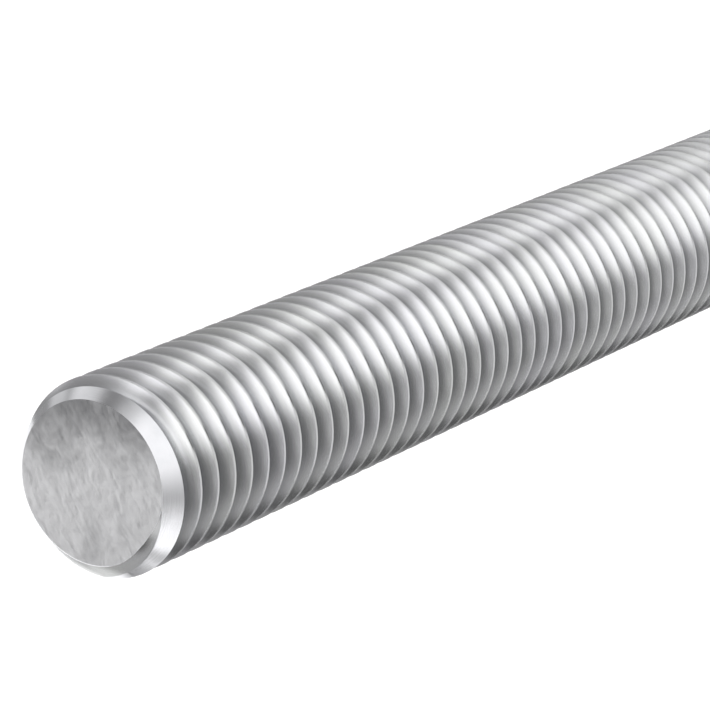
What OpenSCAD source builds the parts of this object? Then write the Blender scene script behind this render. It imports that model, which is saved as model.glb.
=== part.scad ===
// Fully threaded steel rod, cut to length, with a chamfer at each end.
//
// The rod stands on its lower end face: +Z runs up its axis, and the origin is the centre of
// that face. The solid is the thread's envelope, a cylinder over the crests. The helix is
// not cut into it, but the thread's form sets how far the chamfers run in.

/* [Rod] */
// Length from end face to end face
rod_length = 150; // [20:1:300]
// Diameter over the thread's crests
thread_diameter = 12; // [8:0.5:24]

/* [Thread] */
// Distance from one crest to the next along the axis
thread_pitch = 1.75; // [1:0.25:3]
// Angle between the two flanks of a ridge
flank_angle = 60; // [55:1:65]
// Width of the flat left along each crest
crest_flat = 0.22; // [0.1:0.02:0.3]

/* [Ends] */
// Height of the end face's rim over the bottom of the thread
rim_over_root = 0.29; // [0:0.01:0.5]
// Angle of the chamfer to the rod's axis
chamfer_angle = 45; // [30:1:60]

/* [Hidden] */

bright_steel = [0.78, 0.79, 0.81];

// The round surfaces are drawn with this many segments
round_segments = 96;

// The flanks fall from each crest to a sharp root halfway to the next one
flank_run = (thread_pitch - crest_flat) / 2;
thread_depth = flank_run / tan(flank_angle / 2);

crest_radius = thread_diameter / 2;
face_radius = crest_radius - thread_depth + rim_over_root;
chamfer_length = (crest_radius - face_radius) / tan(chamfer_angle);

// Half section of the rod from its axis outwards, lower end face first
function rod_section() = [
    [0, 0],
    [face_radius, 0],
    [crest_radius, chamfer_length],
    [crest_radius, rod_length - chamfer_length],
    [face_radius, rod_length],
    [0, rod_length]
];

module threaded_rod() {
    color(bright_steel)
        rotate_extrude($fn = round_segments)
            polygon(rod_section());
}

threaded_rod();
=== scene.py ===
"""Fully threaded rod of zinc-plated steel, cut to length, with a turned chamfer at each end.

The rod stands on its lower end face, up the Z axis. Its thread is swept as one helix, closed, and
then trimmed to the chamfered envelope, so that the groove runs out through both end faces.
"""

import logging
import math
from dataclasses import dataclass
from enum import Enum
from typing import Callable, Union

import bpy
from mathutils import Matrix, Vector


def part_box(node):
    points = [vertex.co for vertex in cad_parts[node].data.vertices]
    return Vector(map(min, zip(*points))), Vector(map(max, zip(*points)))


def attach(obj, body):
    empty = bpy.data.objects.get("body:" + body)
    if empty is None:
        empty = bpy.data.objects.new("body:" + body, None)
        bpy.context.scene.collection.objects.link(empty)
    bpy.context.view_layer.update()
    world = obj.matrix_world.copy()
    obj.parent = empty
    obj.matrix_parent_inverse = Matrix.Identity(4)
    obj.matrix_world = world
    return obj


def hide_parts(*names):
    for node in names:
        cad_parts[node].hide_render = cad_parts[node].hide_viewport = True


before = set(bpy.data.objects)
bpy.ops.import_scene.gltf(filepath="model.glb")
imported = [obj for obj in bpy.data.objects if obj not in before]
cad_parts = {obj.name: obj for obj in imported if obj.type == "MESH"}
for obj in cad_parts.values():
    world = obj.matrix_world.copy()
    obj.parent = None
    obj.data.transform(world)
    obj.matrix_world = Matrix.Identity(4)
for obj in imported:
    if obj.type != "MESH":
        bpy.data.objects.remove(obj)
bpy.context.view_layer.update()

LOG = logging.getLogger("threaded_rod")
MM = 0.001
NOISE_MIDDLE = 0.5
NOISE_ROUGHNESS = 0.55
NODE = "threaded_rod"

Point = tuple[float, float]
Colour = tuple[float, float, float]
Direction = tuple[float, float, float]
Number = Union[float, "Value"]


# ---------------- shader maths


class Value:
    """A number in a shader, which takes Python's arithmetic and adds the Math nodes for it."""

    def __init__(self, bench: "Bench", socket: bpy.types.NodeSocket) -> None:
        """Wraps one socket.

        Args:
            bench: The node tree that the socket belongs to.
            socket: The output socket that carries the number.
        """
        self.bench = bench
        self.socket = socket

    def __add__(self, other: Number) -> "Value":
        """This number plus another."""
        return self.bench.maths("ADD", self, other)

    def __radd__(self, other: Number) -> "Value":
        """Another number plus this one."""
        return self.bench.maths("ADD", other, self)

    def __sub__(self, other: Number) -> "Value":
        """This number less another."""
        return self.bench.maths("SUBTRACT", self, other)

    def __rsub__(self, other: Number) -> "Value":
        """Another number less this one."""
        return self.bench.maths("SUBTRACT", other, self)

    def __mul__(self, other: Number) -> "Value":
        """This number times another."""
        return self.bench.maths("MULTIPLY", self, other)

    def __rmul__(self, other: Number) -> "Value":
        """Another number times this one."""
        return self.bench.maths("MULTIPLY", other, self)

    def __truediv__(self, other: Number) -> "Value":
        """This number over another."""
        return self.bench.maths("DIVIDE", self, other)

    def __rtruediv__(self, other: Number) -> "Value":
        """Another number over this one."""
        return self.bench.maths("DIVIDE", other, self)


class Bench:
    """Builds the nodes of one material, or of the world."""

    def __init__(self, tree: bpy.types.NodeTree) -> None:
        """Clears a node tree to build in.

        Args:
            tree: The node tree of a material or world.
        """
        self.tree = tree
        self.tree.nodes.clear()

    def node(
        self,
        kind: str,
        settings: dict[str, object] | None = None,
        sockets: dict[object, object] | None = None,
    ) -> bpy.types.Node:
        """Adds a node, sets it up, and fills its sockets.

        Args:
            kind: The node's type, such as ShaderNodeTexNoise.
            settings: Its settings by name.
            sockets: A value or link for each input socket, by its name or number.

        Returns:
            The new node.
        """
        made = self.tree.nodes.new(kind)
        for name, value in (settings or {}).items():
            setattr(made, name, value)
        for name, value in (sockets or {}).items():
            self._fill(made.inputs[name], value)
        return made

    def _fill(self, socket: bpy.types.NodeSocket, value: object) -> None:
        """Links a socket, or sets it where the value is plain.

        Args:
            socket: The input socket.
            value: A Value, an output socket, or a plain number, vector or colour.
        """
        if isinstance(value, Value):
            self.tree.links.new(value.socket, socket)
        elif isinstance(value, bpy.types.NodeSocket):
            self.tree.links.new(value, socket)
        elif socket.type == "RGBA" and len(value) == 3:
            socket.default_value = (*value, 1.0)
        else:
            socket.default_value = value

    def maths(self, operation: str, first: Number, second: Number = 0.0) -> Value:
        """Adds a Math node.

        Args:
            operation: The Math node's operation.
            first: Its first number.
            second: Its second number.

        Returns:
            The result.
        """
        made = self.node("ShaderNodeMath", {"operation": operation}, {0: first, 1: second})
        return Value(self, made.outputs[0])

    def step(self, value: Number, start: float, end: float) -> Value:
        """A smooth step from 0 to 1.

        Args:
            value: The number that is read.
            start: Where the step is still 0.
            end: Where it has reached 1.

        Returns:
            The step's value.
        """
        sockets = {"Value": value, "From Min": start, "From Max": end, "To Min": 0.0, "To Max": 1.0}
        made = self.node("ShaderNodeMapRange", {"interpolation_type": "SMOOTHSTEP"}, sockets)
        return Value(self, made.outputs["Result"])

    def dot(self, place: bpy.types.NodeSocket, way: Direction) -> Value:
        """How far a place reaches in a fixed direction."""
        made = self.node("ShaderNodeVectorMath", {"operation": "DOT_PRODUCT"}, {0: place, 1: way})
        return Value(self, made.outputs["Value"])

    def vector(self, x: Number, y: Number, z: Number) -> bpy.types.NodeSocket:
        """Joins three numbers into a vector."""
        return self.node("ShaderNodeCombineXYZ", None, {0: x, 1: y, 2: z}).outputs[0]

    def noise(self, place: bpy.types.NodeSocket, across: Number, scale: float, detail: float) -> Value:
        """Soft noise about NOISE_MIDDLE.

        Args:
            place: The place in the pattern.
            across: The fourth number of the place, which streaks are thin along.
            scale: Features for each unit of place.
            detail: Octaves of finer noise.

        Returns:
            The noise.
        """
        sockets = {
            "Vector": place,
            "W": across,
            "Scale": scale,
            "Detail": detail,
            "Roughness": NOISE_ROUGHNESS,
        }
        made = self.node("ShaderNodeTexNoise", {"noise_dimensions": "4D"}, sockets)
        return Value(self, made.outputs["Fac"])

    def blend(self, share: Number, first: object, second: object) -> bpy.types.NodeSocket:
        """Mixes two colours.

        Args:
            share: How much of the second colour shows, from 0 to 1.
            first: The colour at 0.
            second: The colour at 1.

        Returns:
            The mixed colour.
        """
        made = self.node("ShaderNodeMix", {"data_type": "RGBA"}, {0: share, 6: first, 7: second})
        return made.outputs[2]


@dataclass(frozen=True)
class PlaceOnRod:
    """Where a point of the surface is, as the finishes of the rod read it."""

    bench: Bench
    x: Value
    y: Value
    z: Value
    radius: Value
    around: Value

    @classmethod
    def read(cls, bench: Bench) -> "PlaceOnRod":
        """Reads the place in millimetres from the object's own coordinates.

        Args:
            bench: The material's nodes.

        Returns:
            The place, with its distance from the axis and its share of a turn about it.
        """
        coordinates = bench.node("ShaderNodeTexCoord").outputs["Object"]
        split = bench.node("ShaderNodeSeparateXYZ", None, {0: coordinates})
        x, y, z = (Value(bench, split.outputs[k]) * (1.0 / MM) for k in range(3))
        radius = bench.maths("SQRT", x * x + y * y)
        around = bench.maths("ARCTAN2", y, x) / math.tau
        return cls(bench, x, y, z, radius, around)

    def along_turn(self, spread: float, climb: float) -> bpy.types.NodeSocket:
        """A place that changes slowly along a turn and from one turn to the next.

        Args:
            spread: How fast it changes around the rod.
            climb: How fast it changes up the rod, for each millimetre.

        Returns:
            The place as a vector.
        """
        toward_x = self.x / self.radius * spread
        toward_y = self.y / self.radius * spread
        return self.bench.vector(toward_x, toward_y, self.z * climb)

    def turned(self, turn: float) -> tuple[Value, Value]:
        """The place along and across a level direction.

        Args:
            turn: The direction, in degrees from the X axis.

        Returns:
            The distances along and across it, in millimetres.
        """
        cosine = math.cos(math.radians(turn))
        sine = math.sin(math.radians(turn))
        return self.x * cosine + self.y * sine, self.y * cosine - self.x * sine


@dataclass(frozen=True)
class Lines:
    """Fine lines along a turn of the rod, as rolling or turning leaves them.

    Attributes:
        across: Lines for each unit across them.
        around: How fast they change around the rod.
        climb: How fast they change up the rod, for each millimetre.
        detail: Octaves of finer lines.
        satin: Their share of the roughness.
        relief: Their share of the relief.
    """

    across: float
    around: float
    climb: float
    detail: float
    satin: float
    relief: float

    def draw(self, place: PlaceOnRod, across: Value) -> Value:
        """Draws the lines.

        Args:
            place: The place on the rod.
            across: The place across the lines.

        Returns:
            Noise about NOISE_MIDDLE.
        """
        way = place.along_turn(self.around, self.climb)
        return place.bench.noise(way, across * self.across, 1.0, self.detail)


@dataclass(frozen=True)
class Grain:
    """Soft noise over the rod, which may be drawn out one way.

    Attributes:
        seed: Tells one pattern from another.
        scale: Features for each millimetre.
        detail: Octaves of finer noise.
        tarnish: Its share of a clouded colour.
        drawn: How fast it changes along the way that it is drawn out, where 1 is as fast as across.
    """

    seed: float
    scale: float
    detail: float
    tarnish: float = 0.0
    drawn: float = 1.0

    def lay(self, place: PlaceOnRod, along: Value, across: Value) -> Value:
        """Lays the noise over a face.

        Args:
            place: The place on the rod.
            along: The distance along the way that it is drawn out, in millimetres.
            across: The distance across it.

        Returns:
            Noise about NOISE_MIDDLE.
        """
        where = place.bench.vector(along * self.drawn, across, place.z)
        return place.bench.noise(where, self.seed, self.scale, self.detail)


# ---------------- finishes


class Finish(Enum):
    """The finishes on the rod, in the order of its material slots."""

    THREAD = 0
    CHAMFER = 1
    END_FACE = 2


@dataclass(frozen=True)
class PlatedThread:
    """Bright zinc over a rolled thread, duller at the root and darkened there by painted shade, with fine
    lines along the helix.

    Attributes:
        pitch, top, bottom: The height of one turn and of the two end faces, in millimetres.
        phase: The height at which a root crosses the X axis, in turns.
        warm_zinc, cool_zinc, root_tone: The plating's colours in its warm and cool clouds, and at the root
            duller zinc darkened by painted shade.
        root_cover, root_satin: How much of the root's dull colour and painted shade shows there, and how
            much rougher it is.
        satin, satin_spread: The roughness, and how far the lines change it.
        line_depth: The depth of the lines, in metres.
        cloud_hue, broad_hue: The shares of the clouds and of the broad lines in the hue.
        warm_to, cool_from: The hue up to which the plating is warm, and from which it is cool.
        dull_and_shade_start, dull_and_shade_end: Where the dulling and painted shade start and are whole,
            as shares of the way to the root.
        end_clear, end_full: How far from an end face the dulling and painted shade start and are whole, in
            millimetres.
    """

    pitch: float
    phase: float
    top: float
    bottom: float
    warm_zinc: Colour = (0.775, 0.783, 0.779)
    cool_zinc: Colour = (0.776, 0.776, 0.802)
    root_tone: Colour = (0.275, 0.280, 0.290)
    root_cover: float = 0.95
    satin: float = 0.205
    satin_spread: float = 0.12
    root_satin: float = 0.06
    line_depth: float = 0.0016 * MM
    fine: Lines = Lines(across=46.0, around=1.6, climb=0.55, detail=2.0, satin=0.6, relief=0.5)
    broad: Lines = Lines(across=13.0, around=1.1, climb=0.42, detail=1.0, satin=0.4, relief=1.2)
    cloud: Grain = Grain(seed=0.0, scale=0.16, detail=2.0)
    cloud_hue: float = 0.7
    broad_hue: float = 0.3
    warm_to: float = 0.38
    cool_from: float = 0.62
    dull_and_shade_start: float = 0.02
    dull_and_shade_end: float = 0.98
    end_clear: float = 0.3
    end_full: float = 2.2

    def dress(self) -> bpy.types.Material:
        """Makes the finish.

        Returns:
            The material.
        """
        material = new_material("rolled_zinc_thread")
        bench = Bench(material.node_tree)
        place = PlaceOnRod.read(bench)
        profile = bench.maths("FRACT", place.z / self.pitch - place.around - self.phase)
        fine = self.fine.draw(place, profile)
        broad = self.broad.draw(place, profile)
        cloud = self.cloud.lay(place, place.x, place.y)
        hue = bench.step(cloud * self.cloud_hue + broad * self.broad_hue, self.warm_to, self.cool_from)
        # The profile runs from 0 at one root, past 0.5 at the crest, to 1 at the next root.
        below_crest = bench.maths("ABSOLUTE", profile - 0.5) * 2.0
        from_end = bench.maths("MINIMUM", place.z - self.bottom, self.top - place.z)
        inside = bench.step(from_end, self.end_clear, self.end_full)
        # Painted shade: the colour darkens from the crest down into the groove, where the zinc is also
        # duller and rougher, and fades out near the end faces.
        dull_and_shade = bench.step(below_crest, self.dull_and_shade_start, self.dull_and_shade_end) * inside * self.root_cover
        colour = bench.blend(dull_and_shade, bench.blend(hue, self.warm_zinc, self.cool_zinc), self.root_tone)
        lines = fine * self.fine.satin + broad * self.broad.satin - NOISE_MIDDLE
        roughness = self.satin + lines * self.satin_spread + dull_and_shade * self.root_satin
        height = fine * self.fine.relief + broad * self.broad.relief
        return finish_metal(bench, material, colour, roughness, height, self.line_depth)


@dataclass(frozen=True)
class TurnedChamfer:
    """A chamfer turned on a lathe and then plated: bright, with rings about the axis.

    Attributes:
        zinc, worn_zinc: The plating's colour, and its colour where it is worn.
        worn_from, worn_to: The clouds between which the wear sets in.
        satin, satin_spread: The roughness, and how far the clouds and rings change it.
        ring_depth: The depth of the rings, in metres.
    """

    zinc: Colour = (0.80, 0.80, 0.825)
    worn_zinc: Colour = (0.70, 0.71, 0.73)
    satin: float = 0.12
    satin_spread: float = 0.08
    ring_depth: float = 0.0012 * MM
    rings: Lines = Lines(across=22.0, around=0.7, climb=0.0, detail=2.0, satin=0.5, relief=1.0)
    cloud: Grain = Grain(seed=0.0, scale=0.35, detail=3.0)
    cloud_satin: float = 0.5
    worn_from: float = 0.40
    worn_to: float = 0.72

    def dress(self) -> bpy.types.Material:
        """Makes the finish.

        Returns:
            The material.
        """
        material = new_material("turned_zinc_chamfer")
        bench = Bench(material.node_tree)
        place = PlaceOnRod.read(bench)
        rings = self.rings.draw(place, place.radius)
        cloud = self.cloud.lay(place, place.x, place.y)
        worn = bench.step(cloud, self.worn_from, self.worn_to)
        colour = bench.blend(worn, self.zinc, self.worn_zinc)
        rough = cloud * self.cloud_satin + rings * self.rings.satin - NOISE_MIDDLE
        roughness = self.satin + rough * self.satin_spread
        height = rings * self.rings.relief
        return finish_metal(bench, material, colour, roughness, height, self.ring_depth)


@dataclass(frozen=True)
class CroppedFace:
    """A cropped end under thin zinc: darker towards one side, clouded and wrinkled, with a painted
    reflection in a darker wedge.

    Every turn is in degrees from the X axis.

    Attributes:
        zinc, dull_zinc: The colours of clean plating and of plating under full tarnish, which also gives
            the darker side and the painted reflection's wedge their tone.
        clean_at, dull_at: The tarnish at which each of them shows alone.
        polish: The tarnish that is missing everywhere.
        satin, satin_spread: The roughness, and how far the clouds and the brushing change it.
        fold_depth, crease_relief: The depth of the folds in metres, and of the creases as a share of it.
        fold_turn, bend, fold_bend: The folds' way, the noise that bends them, and how far, in millimetres.
        side_dark_turn, side_dark_start, side_dark_end: The way that the face grows darker, and where on it,
        in millimetres.
        side_dark_wander: How far the clouds move the edge of the darker side, in millimetres.
        wedge_turn, wedge_start, wedge_full: The way that the painted reflection's wedge runs, and where on
            it, in millimetres.
        wedge_spread, wedge_bend, wedge_soft: How the wedge widens, how far it bends, and how soft its edges
            are.
    """

    zinc: Colour = (0.97, 0.97, 0.985)
    dull_zinc: Colour = (0.32, 0.32, 0.33)
    clean_at: float = -0.35
    dull_at: float = 1.0
    polish: float = 0.22
    satin: float = 0.30
    satin_spread: float = 0.12
    cloud_satin: float = 0.4
    brushed_satin: float = 0.6
    cloud: Grain = Grain(seed=3.0, scale=0.40, detail=3.0, tarnish=0.4)
    brushed: Grain = Grain(seed=6.0, scale=0.9, detail=3.0, tarnish=0.5, drawn=0.4)
    folds: Grain = Grain(seed=1.0, scale=1.5, detail=1.5, tarnish=0.35, drawn=0.5)
    creases: Grain = Grain(seed=2.0, scale=3.6, detail=2.0, tarnish=0.25, drawn=0.6)
    fold_depth: float = 0.055 * MM
    crease_relief: float = 0.25
    fold_turn: float = 12.0
    bend: Grain = Grain(seed=9.0, scale=0.5, detail=1.0)
    fold_bend: float = 1.0
    side_dark_turn: float = -22.0
    side_dark_start: float = -1.4
    side_dark_end: float = 5.6
    side_dark_wander: float = 6.0
    side_dark_depth: float = 0.92
    wedge_turn: float = 151.0
    wedge_spread: float = 0.16
    wedge_bend: float = 0.6
    wedge_start: float = 0.2
    wedge_full: float = 2.2
    wedge_soft: float = 0.25
    wedge_darkening: float = 0.28

    def _darken_side(self, place: PlaceOnRod, cloud: Value) -> Value:
        """The darkening that spreads from one side of the face.

        Args:
            place: The place on the rod.
            cloud: The clouds, which the darkening's edge follows.

        Returns:
            0 where the face is clear and 1 where it is darkest.
        """
        reach, _ = place.turned(self.side_dark_turn)
        wander = (cloud - NOISE_MIDDLE) * self.side_dark_wander
        return place.bench.step(reach + wander, self.side_dark_start, self.side_dark_end)

    def _painted_reflection_wedge(self, place: PlaceOnRod, bend: Value) -> Value:
        """A painted reflection: a darker wedge, which widens from the middle of the face to its rim.

        Args:
            place: The place on the rod.
            bend: How far the lines of the face are pushed aside.

        Returns:
            0 outside the wedge and 1 in it.
        """
        bench = place.bench
        outward, aside = place.turned(self.wedge_turn)
        past_edge = bench.maths("ABSOLUTE", aside + bend * self.wedge_bend) - outward * self.wedge_spread
        inside = 1.0 - bench.step(past_edge, -self.wedge_soft, self.wedge_soft)
        return bench.step(outward, self.wedge_start, self.wedge_full) * inside

    def dress(self) -> bpy.types.Material:
        """Makes the finish.

        Returns:
            The material.
        """
        material = new_material("cropped_zinc_end")
        bench = Bench(material.node_tree)
        place = PlaceOnRod.read(bench)
        bend = self.bend.lay(place, place.x, place.y) - NOISE_MIDDLE
        along, across = place.turned(self.fold_turn)
        across = across + bend * self.fold_bend
        cloud = self.cloud.lay(place, place.x, place.y)
        brushed = self.brushed.lay(place, along, across)
        folds = self.folds.lay(place, along, across)
        creases = self.creases.lay(place, along, across)
        # Darker towards one side of the face.
        side_darkening = self._darken_side(place, cloud) * self.side_dark_depth
        # Painted reflection: a darker wedge, out from the middle of the face to its rim, is added to the
        # tarnish here.
        tarnish = side_darkening + self._painted_reflection_wedge(place, bend) * self.wedge_darkening
        grains = (self.cloud, self.brushed, self.folds, self.creases)
        for grain, noise in zip(grains, (cloud, brushed, folds, creases)):
            tarnish = tarnish + (noise - NOISE_MIDDLE) * grain.tarnish
        dulled = bench.step(tarnish - self.polish, self.clean_at, self.dull_at)
        colour = bench.blend(dulled, self.zinc, self.dull_zinc)
        rough = cloud * self.cloud_satin + brushed * self.brushed_satin - NOISE_MIDDLE
        roughness = self.satin + rough * self.satin_spread
        height = folds + creases * self.crease_relief
        return finish_metal(bench, material, colour, roughness, height, self.fold_depth)


def new_material(name: str) -> bpy.types.Material:
    """Makes an empty material that uses nodes.

    Args:
        name: The material's name.

    Returns:
        The material.
    """
    material = bpy.data.materials.new(name)
    material.use_nodes = True
    return material


def finish_metal(
    bench: Bench,
    material: bpy.types.Material,
    colour: bpy.types.NodeSocket,
    roughness: Value,
    height: Value,
    depth: float,
) -> bpy.types.Material:
    """Joins a metal's colour, roughness and relief to its shader.

    Args:
        bench: The material's nodes.
        material: The material that is made.
        colour: The metal's colour.
        roughness: Its roughness.
        height: Its relief, where 1 is one depth high.
        depth: The height of the relief, in metres.

    Returns:
        The same material.
    """
    bump = bench.node("ShaderNodeBump", None, {"Strength": 1.0, "Distance": depth, "Height": height})
    sockets = {"Base Color": colour, "Metallic": 1.0, "Roughness": roughness, "Normal": bump.outputs[0]}
    metal = bench.node("ShaderNodeBsdfPrincipled", None, sockets)
    bench.node("ShaderNodeOutputMaterial", None, {"Surface": metal.outputs[0]})
    return material


# ---------------- modelling by hand


def deselect_all() -> None:
    """Leaves no object selected."""
    bpy.ops.object.select_all(action="DESELECT")


def make_active(piece: bpy.types.Object) -> None:
    """Selects one object alone and makes it the active one.

    Args:
        piece: The object.
    """
    deselect_all()
    piece.select_set(True)
    bpy.context.view_layer.objects.active = piece


def select_in_edit(piece: bpy.types.Object, kind: str, test: Callable[[list[Vector]], bool]) -> None:
    """Selects the faces or edges of a mesh whose corners pass a test, and opens it in edit mode.

    Args:
        piece: The mesh object, in object mode.
        kind: FACE or EDGE.
        test: Takes the places of an element's corners and says whether it is wanted.
    """
    make_active(piece)
    bpy.ops.object.mode_set(mode="EDIT")
    bpy.ops.mesh.select_mode(type=kind)
    bpy.ops.mesh.select_all(action="DESELECT")
    bpy.ops.object.mode_set(mode="OBJECT")
    corners = piece.data.vertices
    elements = piece.data.polygons if kind == "FACE" else piece.data.edges
    for element in elements:
        element.select = test([corners[k].co for k in element.vertices])
    bpy.ops.object.mode_set(mode="EDIT")


def apply_modifier(piece: bpy.types.Object, name: str) -> None:
    """Applies one modifier of an object."""
    make_active(piece)
    bpy.ops.object.modifier_apply(modifier=name)


# ---------------- the rod


@dataclass(frozen=True)
class ThreadForm:
    """The form of one ridge and groove of the thread, in metres."""

    crest_radius: float = 6.0 * MM
    pitch: float = 1.75 * MM
    flank_angle: float = 60.0
    crest_flat: float = 0.22 * MM
    crest_round: float = 0.09 * MM
    root_round: float = 0.05 * MM
    flank_bulge: float = 0.05 * MM
    crest_parts: int = 3
    root_parts: int = 2
    flank_parts: int = 3

    @property
    def flank_run(self) -> float:
        """The length of one flank along the axis, with sharp corners."""
        return (self.pitch - self.crest_flat) / 2

    @property
    def half_angle(self) -> float:
        """Half the angle between two flanks, in radians."""
        return math.radians(self.flank_angle / 2)

    @property
    def sharp_root(self) -> float:
        """The radius at which two flanks would meet in a sharp groove."""
        return self.crest_radius - self.flank_run / math.tan(self.half_angle)

    def _arc(self, centre: Point, radius: float, start: float, end: float, parts: int) -> list[Point]:
        """Points along an arc of the profile.

        Args:
            centre: The arc's centre, as distance from the axis and height.
            radius: Its radius.
            start: The angle of its first point, in degrees from outward towards up.
            end: The angle of its last point.
            parts: The number of straight parts.

        Returns:
            The points, first and last included.
        """
        turned = [math.radians(start + (end - start) * k / parts) for k in range(parts + 1)]
        return [(centre[0] + radius * math.cos(a), centre[1] + radius * math.sin(a)) for a in turned]

    def _flank(self, start: Point, end: Point) -> list[Point]:
        """Points along a flank between its ends, which bulges a little as rolled metal does.

        Args:
            start: The flank's first point.
            end: Its last point, above the first.

        Returns:
            The points between, without the two ends.
        """
        run = (end[0] - start[0], end[1] - start[1])
        length = math.hypot(*run)
        outward = (run[1] / length, -run[0] / length)
        points = []
        for k in range(1, self.flank_parts):
            share = k / self.flank_parts
            bulge = 4 * self.flank_bulge * share * (1 - share)
            points.append(tuple(start[i] + run[i] * share + outward[i] * bulge for i in (0, 1)))
        return points

    def ridge(self) -> list[Point]:
        """The outline of one ridge, from the middle of one root to the middle of the next.

        Returns:
            Points as distance from the axis and height, with the crest at height 0.
        """
        slope = 90.0 - self.flank_angle / 2
        centre_out = self.crest_radius - self.crest_round
        shift = self.crest_round * math.tan(math.radians(slope / 2))
        crest_up = self.crest_flat / 2 - shift
        lower = self._arc((centre_out, -crest_up), self.crest_round, -slope, 0.0, self.crest_parts)
        upper = self._arc((centre_out, crest_up), self.crest_round, 0.0, slope, self.crest_parts)
        bottom_centre = self.sharp_root + self.root_round / math.sin(self.half_angle)
        half = self.pitch / 2
        rise = self._arc((bottom_centre, -half), self.root_round, 180.0, 180.0 - slope, self.root_parts)
        fall = self._arc((bottom_centre, half), self.root_round, 180.0 + slope, 180.0, self.root_parts)
        lower_flank = self._flank(rise[-1], lower[0])
        upper_flank = self._flank(upper[-1], fall[0])
        return rise + lower_flank + lower + upper + upper_flank + fall


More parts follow.
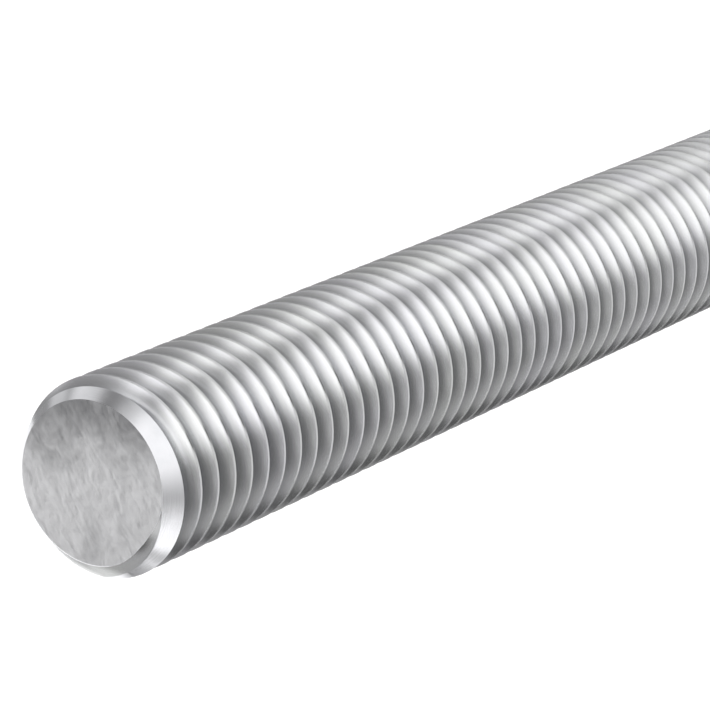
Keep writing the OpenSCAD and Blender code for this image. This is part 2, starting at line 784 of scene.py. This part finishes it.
@dataclass
class ThreadedRod:
    """The whole rod: a helical thread trimmed to an envelope with 45 degree chamfers.

    Attributes:
        top, bottom, face_radius: The heights of the two end faces, and their radius.
        crest_below_top: How far below the top the last crest crosses the X axis.
        steps, envelope_sides: Parts of one turn of the thread, and sides of the envelope.
        spare_radius, spare_length: How far the envelope and the untrimmed thread are oversize.
        same_point, exact, near: How close counts as one point, as a cut's plane, and as on a surface.
        smooth_under: The angle between faces, in degrees, under which their edge is smooth.
    """

    form: ThreadForm = ThreadForm()
    top: float = 150.0 * MM
    bottom: float = 0.0
    face_radius: float = 4.965 * MM
    crest_below_top: float = 0.115 * MM
    steps: int = 64
    envelope_sides: int = 192
    spare_radius: float = 0.4 * MM
    spare_length: float = 1.0 * MM
    same_point: float = 0.0005 * MM
    exact: float = 0.00001 * MM
    near: float = 0.004 * MM
    smooth_under: float = 46.0

    def build(self) -> bpy.types.Object:
        """Models the rod, dresses it and fixes it to the frame.

        Returns:
            The finished piece.
        """
        rod = self._thread()
        envelope = self._envelope()
        self._trim(rod, envelope)
        self._dress(rod)
        rod.name = "zinc_plated_threaded_rod"
        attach(rod, "root")
        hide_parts(NODE)
        return rod

    def _thread(self) -> bpy.types.Object:
        """Sweeps one ridge's outline up a helix and closes the solid above and below the rod.

        Returns:
            A closed solid that is longer than the rod.
        """
        outline = self.form.ridge()
        turns_below = math.ceil(2 * self.spare_length / self.form.pitch) + 1
        turns = math.ceil((self.top - self.bottom) / self.form.pitch) + 2 * turns_below
        crest = self.top - self.crest_below_top
        start = crest - self.form.pitch * (turns - turns_below)
        deselect_all()
        bpy.ops.mesh.primitive_plane_add(size=self.form.pitch)
        thread = bpy.context.object
        bpy.ops.object.mode_set(mode="EDIT")
        bpy.ops.mesh.select_all(action="SELECT")
        bpy.ops.mesh.merge(type="CENTER")
        first = outline[0]
        bpy.ops.transform.translate(value=(first[0], 0.0, first[1] + start))
        for last, after in zip(outline, outline[1:]):
            move = (after[0] - last[0], 0.0, after[1] - last[1])
            bpy.ops.mesh.extrude_region_move(TRANSFORM_OT_translate={"value": move})
        bpy.ops.object.mode_set(mode="OBJECT")
        screw = thread.modifiers.new("helix", "SCREW")
        screw.axis = "Z"
        screw.angle = math.tau
        screw.screw_offset = self.form.pitch
        screw.iterations = turns
        screw.steps = self.steps
        screw.render_steps = self.steps
        apply_modifier(thread, "helix")
        self._close(thread, self.bottom - self.spare_length, (0.0, 0.0, -1.0))
        self._close(thread, self.top + self.spare_length, (0.0, 0.0, 1.0))
        return thread

    def _close(self, thread: bpy.types.Object, height: float, outward: Direction) -> None:
        """Cuts the swept thread off flat at a height and fills the cut.

        Args:
            thread: The swept thread.
            height: The height of the cut.
            outward: The side that is cut away.
        """
        make_active(thread)
        bpy.ops.object.mode_set(mode="EDIT")
        bpy.ops.mesh.select_all(action="SELECT")
        bpy.ops.mesh.remove_doubles(threshold=self.same_point)
        bpy.ops.mesh.bisect(
            plane_co=(0.0, 0.0, height),
            plane_no=outward,
            use_fill=True,
            clear_outer=True,
            threshold=self.exact,
        )
        bpy.ops.mesh.select_all(action="SELECT")
        bpy.ops.mesh.normals_make_consistent(inside=False)
        bpy.ops.object.mode_set(mode="OBJECT")

    def _envelope(self) -> bpy.types.Object:
        """Makes the chamfered blank that the thread is trimmed to.

        Returns:
            The blank, a little wider than the crests.
        """
        radius = self.form.crest_radius + self.spare_radius
        length = self.top - self.bottom
        middle = (self.top + self.bottom) / 2
        deselect_all()
        bpy.ops.mesh.primitive_cylinder_add(
            vertices=self.envelope_sides, radius=radius, depth=length, location=(0.0, 0.0, middle)
        )
        blank = bpy.context.object
        bpy.ops.object.transform_apply(location=True, rotation=True, scale=True)
        self._chamfer(blank, radius - self.face_radius)
        return blank

    def _chamfer(self, blank: bpy.types.Object, size: float) -> None:
        """Chamfers the rim of both ends of the blank.

        Args:
            blank: The blank.
            size: How far the chamfer runs in on each side.
        """
        ends = (self.bottom, self.top)

        def on_rim(places: list[Vector]) -> bool:
            """Says whether an edge lies in the plane of an end face."""
            return any(all(abs(place.z - end) < self.near for place in places) for end in ends)

        select_in_edit(blank, "EDGE", on_rim)
        bpy.ops.mesh.bevel(offset=size, segments=1, affect="EDGES")
        bpy.ops.object.mode_set(mode="OBJECT")

    def _trim(self, rod: bpy.types.Object, envelope: bpy.types.Object) -> None:
        """Trims the thread to the blank and cleans up the mesh.

        Args:
            rod: The closed thread.
            envelope: The chamfered blank, which is removed.
        """
        cut = rod.modifiers.new("trim", "BOOLEAN")
        cut.operation = "INTERSECT"
        cut.object = envelope
        cut.solver = "MANIFOLD"
        apply_modifier(rod, "trim")
        bpy.data.objects.remove(envelope)
        make_active(rod)
        bpy.ops.object.mode_set(mode="EDIT")
        bpy.ops.mesh.select_all(action="SELECT")
        bpy.ops.mesh.remove_doubles(threshold=self.same_point)
        bpy.ops.mesh.normals_make_consistent(inside=False)
        bpy.ops.object.mode_set(mode="OBJECT")
        self._check(rod)

    def _check(self, rod: bpy.types.Object) -> None:
        """Stops the script where the trim has failed, rather than hand on a rod that only looks whole.

        Args:
            rod: The trimmed rod.

        Raises:
            RuntimeError: The rod is open, or isn't trimmed to its two end faces.
        """
        bpy.ops.object.mode_set(mode="EDIT")
        bpy.ops.mesh.select_mode(type="EDGE")
        bpy.ops.mesh.select_all(action="DESELECT")
        bpy.ops.mesh.select_non_manifold()
        bpy.ops.object.mode_set(mode="OBJECT")
        open_edges = sum(edge.select for edge in rod.data.edges)
        heights = [corner.co.z for corner in rod.data.vertices]
        low, high = min(heights), max(heights)
        if open_edges or abs(low - self.bottom) > self.near or abs(high - self.top) > self.near:
            raise RuntimeError(f"the trim failed: {open_edges} open edges, {low} to {high} m")

    def _from_end(self, place: Vector) -> float:
        """How far a point is from the nearer end face, along the axis."""
        return min(place.z - self.bottom, self.top - place.z)

    def _on_end_face(self, places: list[Vector]) -> bool:
        """Says whether a face lies in an end face of the rod."""
        return all(self._from_end(place) < self.near for place in places)

    def _on_chamfer(self, places: list[Vector]) -> bool:
        """Says whether a face lies on a chamfer.

        Args:
            places: The face's corners.

        Returns:
            True where every corner is on the chamfer's 45 degree cone.
        """
        for place in places:
            cone_radius = self.face_radius + self._from_end(place)
            if abs(math.hypot(place.x, place.y) - cone_radius) > self.near:
                return False
        return not self._on_end_face(places)

    def _dress(self, rod: bpy.types.Object) -> None:
        """Gives each face its finish, and keeps the edges between finishes crisp.

        Args:
            rod: The trimmed rod.
        """
        turns_to_crest = (self.top - self.crest_below_top) / self.form.pitch
        thread = PlatedThread(
            pitch=self.form.pitch / MM,
            phase=turns_to_crest % 1.0 - 0.5,
            top=self.top / MM,
            bottom=self.bottom / MM,
        )
        rod.data.materials.clear()
        for surface in (thread, TurnedChamfer(), CroppedFace()):
            rod.data.materials.append(surface.dress())
        make_active(rod)
        bpy.ops.object.shade_smooth_by_angle(angle=math.radians(self.smooth_under))
        tests = {Finish.CHAMFER: self._on_chamfer, Finish.END_FACE: self._on_end_face}
        for finish, test in tests.items():
            select_in_edit(rod, "FACE", test)
            rod.active_material_index = finish.value
            bpy.ops.object.material_slot_assign()
            bpy.ops.mesh.region_to_loop()
            bpy.ops.mesh.mark_sharp()
            bpy.ops.object.mode_set(mode="OBJECT")


# ---------------- studio


def grey(level: float) -> Colour:
    """A neutral colour of one level."""
    return (level, level, level)


@dataclass(frozen=True)
class Pool:
    """A soft-edged oval of light, or of shade, on the tent.

    Attributes:
        name: What it stands for in the studio.
        around: Its place round the rod, in degrees from the front towards +X.
        height: Its place above the level of the rod's upper end, in degrees.
        turn: How far its length is turned up from level, in degrees.
        half_length: Half its length, in degrees.
        half_width: Half its width, in degrees.
        tone: Its brightness, where 1 is white.
        soft: Where its soft edge begins, as a share of the way out.
    """

    name: str
    around: float
    height: float
    turn: float
    half_length: float
    half_width: float
    tone: float
    soft: float = 0.35

    def _axes(self) -> tuple[Vector, Vector, Vector]:
        """The oval's own directions, as seen from the rod's upper end.

        Returns:
            The directions of its middle, of its length and of its width, each one long.
        """
        around, height, turn = (math.radians(angle) for angle in (self.around, self.height, self.turn))
        level = Vector((math.cos(around), math.sin(around), 0.0))
        flat = Vector((math.sin(around), -math.cos(around), 0.0))
        middle = flat * math.cos(height) + Vector((0.0, 0.0, math.sin(height)))
        rise = Vector((0.0, 0.0, math.cos(height))) - flat * math.sin(height)
        length = level * math.cos(turn) + rise * math.sin(turn)
        width = rise * math.cos(turn) - level * math.sin(turn)
        return middle, length, width

    def lay(self, bench: Bench, way: bpy.types.NodeSocket, tone: Number) -> Value:
        """Lays the oval over the tone that the tent has so far.

        Args:
            bench: The tent's nodes.
            way: The direction of the place on the tent, one long.
            tone: The tone under the oval.

        Returns:
            The tone with the oval on it.
        """
        middle, length, width = self._axes()
        along = bench.dot(way, length) / math.sin(math.radians(self.half_length))
        across = bench.dot(way, width) / math.sin(math.radians(self.half_width))
        out = bench.maths("SQRT", along * along + across * across)
        this_side = bench.maths("GREATER_THAN", bench.dot(way, middle), 0.0)
        cover = (1.0 - bench.step(out, self.soft, 1.0)) * this_side
        return tone + cover * (self.tone - tone)


@dataclass(frozen=True)
class Card:
    """A soft-edged card that lies on the table and shows in metal alone: its sizes are in metres."""

    name: str
    near: float
    far: float
    width: float
    tone: float
    soft_side: float
    soft_end: float

    def place(self, middle: Vector) -> bpy.types.Object:
        """Lays the card on the table.

        Args:
            middle: The point on the table under the rod, a little above it.

        Returns:
            The card.
        """
        deselect_all()
        bpy.ops.mesh.primitive_plane_add(size=1.0)
        card = bpy.context.object
        card.name = self.name
        size = Matrix.Diagonal((self.width, self.far - self.near, 1.0, 1.0))
        shift = Vector((0.0, (self.near + self.far) / 2, 0.0))
        card.matrix_world = Matrix.Translation(middle + shift) @ size
        card.data.materials.append(self._glow())
        card.visible_camera = False
        card.visible_shadow = False
        card.visible_diffuse = False
        return card

    def _glow(self) -> bpy.types.Material:
        """Makes the card's tone, which fades out towards its edges.

        Returns:
            The material.
        """
        material = new_material(self.name)
        bench = Bench(material.node_tree)
        coordinates = bench.node("ShaderNodeTexCoord").outputs["Object"]
        split = bench.node("ShaderNodeSeparateXYZ", None, {0: coordinates})
        # In its own coordinates the card reaches 0.5 to each side of its middle.
        across, along = (bench.maths("ABSOLUTE", Value(bench, split.outputs[k])) for k in range(2))
        cover = 1.0 - bench.step(across, 0.5 - self.soft_side / self.width, 0.5)
        cover = cover * (1.0 - bench.step(along, 0.5 - self.soft_end / (self.far - self.near), 0.5))
        plain = {"Color": grey(self.tone), "Strength": 1.0}
        glow = bench.node("ShaderNodeEmission", None, plain).outputs[0]
        clear = bench.node("ShaderNodeBsdfTransparent").outputs[0]
        mixed = bench.node("ShaderNodeMixShader", None, {0: cover, 1: clear, 2: glow})
        bench.node("ShaderNodeOutputMaterial", None, {"Surface": mixed.outputs[0]})
        return material


@dataclass
class Studio:
    """A white table in a soft light tent, whose pools of light and shade the metal reflects."""

    floor_level: float
    target: Vector
    table_radius: float = 0.45
    table_sides: int = 96
    table_tone: float = 0.85
    table_lift: float = 0.30
    tent_radius: float = 6.0
    tent_segments: int = 48
    tent_rings: int = 24
    tent_low: float = 0.33
    tent_middle: float = 0.43
    tent_top: float = 0.12
    low_to_middle: tuple[float, float] = (0.0, 0.4)
    middle_to_top: tuple[float, float] = (0.6, 0.9)
    card_rise: float = 0.0005
    fill_height: float = 1.6
    fill_size: float = 1.8
    fill_power: float = 12.0
    pools: tuple[Pool, ...] = (
        Pool("back_lamp", 150, 42, 0, 44, 36, 1.15, 0.0),
        Pool("back_left_low", -149, -16, 0, 26, 15, 1.3),
        Pool("front_cloth", 14, 36, -10, 74, 18, 1.15),
        Pool("front_lamp", 9, 52, -5, 36, 16, 1.5),
        Pool("high_lamp", 3, 79, 13, 54, 18, 3.7),
        Pool("high_flag", 83, 73, 21, 13, 5, 0.0),
        Pool("left_high_flag", -60, 56, 33, 33, 15, 0.2),
        Pool("left_strip", -96, 17, 28, 56, 2.2, 1.65),
        Pool("left_low_flag", -112, -8, 30, 31, 14.5, 0.08),
        Pool("front_low_lamp", 11, -1, 4, 43, 13, 2.2),
        Pool("front_left_flag", -34, 3, 0, 19, 12.5, 0.33),
        Pool("front_right_cloth", 58, -4, 0, 19.5, 14.5, 0.97),
        Pool("right_low_flag", 99, 22, -20, 35, 6.5, 0.0),
        Pool("right_strip", 97, 23, -42, 44, 8, 1.05),
        Pool("right_lamp", 70, 41, -5, 16, 12.5, 1.37),
        Pool("right_back_flag", 122, 30, 0, 35, 26, 0.34),
        Pool("right_low_lamp", 131, 1, 0, 14, 14, 0.67),
        Pool("left_back_flag", -114, 20, 0, 15, 16.5, 0.08),
        Pool("back_flag", 160, 10, 0, 16, 12, 0.1),
        Pool("back_left_card", -152, 2, 0, 15, 10, 0.9),
        Pool("left_back_card", -114, 50, 0, 11, 10, 0.85),
    )
    cards: tuple[Card, ...] = (
        Card("front_card", -0.34, 0.02, 0.66, 0.75, 0.10, 0.04),
        Card("back_card", -0.03, 0.215, 0.70, 0.31, 0.08, 0.06),
        Card("dark_card", -0.22, -0.03, 0.062, 0.08, 0.018, 0.05),
    )

    def build(self) -> None:
        """Sets up the floor, the room, the tent and the lamp."""
        self._floor()
        self._room()
        self._tent()
        self._fill()
        for pool in self.pools:
            LOG.info("tent pool %s: tone %.2f", pool.name, pool.tone)

    def _seen(self, bench: Bench) -> Value:
        """Says which rays see the plain white of the studio rather than its light.

        Args:
            bench: The nodes that read it.

        Returns:
            1 for rays from the camera, off gloss or through glass, and 0 for the rest.
        """
        paths = bench.node("ShaderNodeLightPath").outputs
        camera, glossy, through = (
            Value(bench, paths[name]) for name in ("Is Camera Ray", "Is Glossy Ray", "Is Transmission Ray")
        )
        return bench.maths("MAXIMUM", bench.maths("MAXIMUM", camera, glossy), through)

    def _floor(self) -> None:
        """Lays the round white table top under the rod, and the cards that show in its crests."""
        deselect_all()
        middle = Vector((self.target.x, self.target.y, self.floor_level))
        bpy.ops.mesh.primitive_circle_add(
            vertices=self.table_sides, radius=self.table_radius, fill_type="NGON", location=middle
        )
        table = bpy.context.object
        table.name = "white_table"
        material = new_material("white_table")
        bench = Bench(material.node_tree)
        matt = bench.node("ShaderNodeBsdfDiffuse", None, {"Color": grey(self.table_tone)}).outputs[0]
        lift = self._seen(bench) * self.table_lift
        glow = bench.node("ShaderNodeEmission", None, {"Color": lift, "Strength": 1.0}).outputs[0]
        both = bench.node("ShaderNodeAddShader", None, {0: matt, 1: glow})
        bench.node("ShaderNodeOutputMaterial", None, {"Surface": both.outputs[0]})
        table.data.materials.append(material)
        for step, card in enumerate(self.cards, start=1):
            card.place(middle + Vector((0.0, 0.0, self.card_rise * step)))

    def _tent(self) -> None:
        """Raises a closed grey tent, which lights the table and whose pools show in the metal."""
        deselect_all()
        bpy.ops.mesh.primitive_uv_sphere_add(
            segments=self.tent_segments,
            ring_count=self.tent_rings,
            radius=self.tent_radius,
            location=self.target,
        )
        tent = bpy.context.object
        tent.name = "grey_tent"
        material = new_material("grey_tent")
        bench = Bench(material.node_tree)
        coordinates = bench.node("ShaderNodeTexCoord").outputs["Object"]
        way = bench.node("ShaderNodeVectorMath", {"operation": "NORMALIZE"}, {0: coordinates}).outputs[0]
        height = bench.dot(way, (0.0, 0.0, 1.0))
        rise = bench.step(height, *self.low_to_middle) * (self.tent_middle - self.tent_low)
        fall = bench.step(height, *self.middle_to_top) * (self.tent_top - self.tent_middle)
        tone = self.tent_low + rise + fall
        for pool in self.pools:
            tone = pool.lay(bench, way, tone)
        glow = bench.node("ShaderNodeEmission", None, {"Color": tone, "Strength": 1.0}).outputs[0]
        bench.node("ShaderNodeOutputMaterial", None, {"Surface": glow})
        material.cycles.emission_sampling = "NONE"
        tent.data.materials.append(material)
        tent.visible_camera = False

    def _fill(self) -> None:
        """Hangs a broad soft lamp overhead, which lights the table and doesn't show in the metal."""
        deselect_all()
        above = self.target + Vector((0.0, 0.0, self.fill_height))
        bpy.ops.object.light_add(type="AREA", location=above)
        lamp = bpy.context.object
        lamp.name = "overhead_fill"
        lamp.data.size = self.fill_size
        lamp.data.energy = self.fill_power
        lamp.visible_camera = False
        lamp.visible_glossy = False

    def _room(self) -> None:
        """Shows the camera white past the table: the tent hides the room from everything else."""
        world = bpy.data.worlds.new("white_room")
        bpy.context.scene.world = world
        world.use_nodes = True
        bench = Bench(world.node_tree)
        white = self._seen(bench)
        room = bench.node("ShaderNodeBackground", None, {"Color": white, "Strength": 1.0})
        bench.node("ShaderNodeOutputWorld", None, {"Surface": room.outputs[0]})


@dataclass(frozen=True)
class Camera:
    """A long lens that looks down past the rod's upper end."""

    lens: float = 202.25
    film: float = 36.0
    offset: tuple[float, float, float] = (0.856 * MM, -146.459 * MM, 177.409 * MM)
    below_level: float = 54.653
    roll: float = -112.984
    nearest: float = 0.01
    farthest: float = 40.0

    def build(self, target: Vector) -> bpy.types.Object:
        """Puts the camera in place and makes it the scene's own.

        Args:
            target: The middle of the rod's upper end face.

        Returns:
            The camera.
        """
        deselect_all()
        bpy.ops.object.camera_add()
        camera = bpy.context.object
        camera.name = "camera"
        camera.data.lens = self.lens
        camera.data.sensor_width = self.film
        camera.data.clip_start = self.nearest
        camera.data.clip_end = self.farthest
        tilt = Matrix.Rotation(math.radians(90.0 - self.below_level), 4, "X")
        spin = Matrix.Rotation(math.radians(self.roll), 4, "Z")
        camera.matrix_world = Matrix.Translation(target + Vector(self.offset)) @ tilt @ spin
        bpy.context.scene.camera = camera
        return camera


def main() -> None:
    """Builds the camera, the studio and the rod, and reports each piece."""
    logging.basicConfig(level=logging.INFO, format="%(name)s: %(message)s")
    low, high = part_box(NODE)
    target = Vector(((low.x + high.x) / 2, (low.y + high.y) / 2, high.z))
    bpy.context.scene.view_settings.view_transform = "Standard"
    Camera().build(target)
    Studio(floor_level=low.z, target=target).build()
    rod = ThreadedRod(top=high.z, bottom=low.z).build()
    triangles = sum(len(face.vertices) - 2 for face in rod.data.polygons)
    LOG.info("piece %s: %d triangles", rod.name, triangles)
    deselect_all()


if __name__ == "__main__":
    main()
